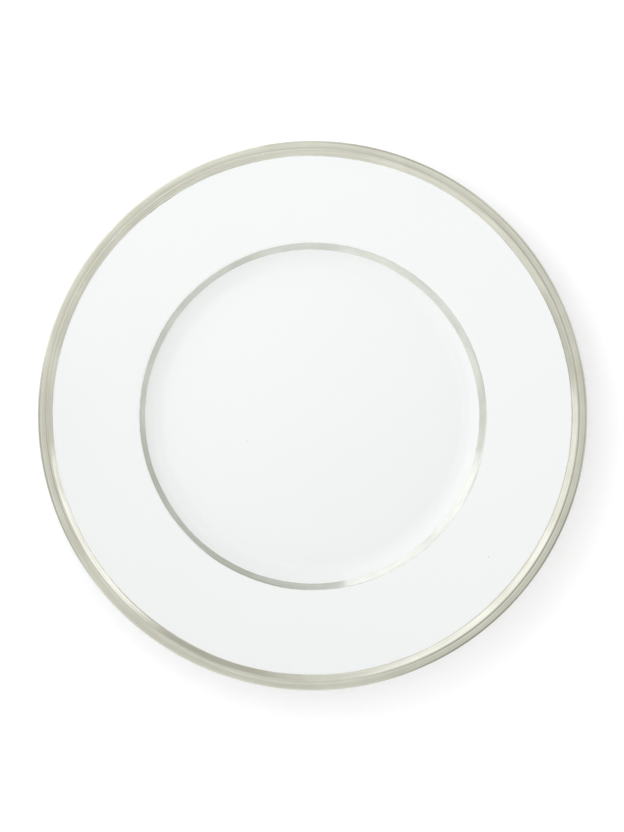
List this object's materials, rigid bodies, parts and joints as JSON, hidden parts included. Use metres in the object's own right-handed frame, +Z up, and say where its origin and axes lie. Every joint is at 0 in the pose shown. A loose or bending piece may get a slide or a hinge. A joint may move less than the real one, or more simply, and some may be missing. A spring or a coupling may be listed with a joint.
{
  "type": "salad plate",
  "caption": "Round rimmed porcelain salad plate with a coved well, a foot ring, a moulded thread and bead edge and platinum bands on the edge and round the well.",
  "frame": {"origin": "centre of the foot ring's resting face, on the surface the plate stands on", "axes": "+Z up along the plate's axis of revolution, X and Y in the plane of the surface"},
  "size_m": [0.2162, 0.2162, 0.0188],
  "materials": {
    "porcelain": "bare fired porcelain, matt, seen only on the foot ring's resting face",
    "glaze": "clear gloss glaze over white porcelain",
    "platinum": "fired platinum banding, polished, laid on by hand on a turntable"
  },
  "bodies": {
    "root": {"porcelain_body": "porcelain", "face_glaze": "glaze", "base_glaze": "glaze", "rim_band": "platinum", "verge_band": "platinum"}
  },
  "joints": []
}
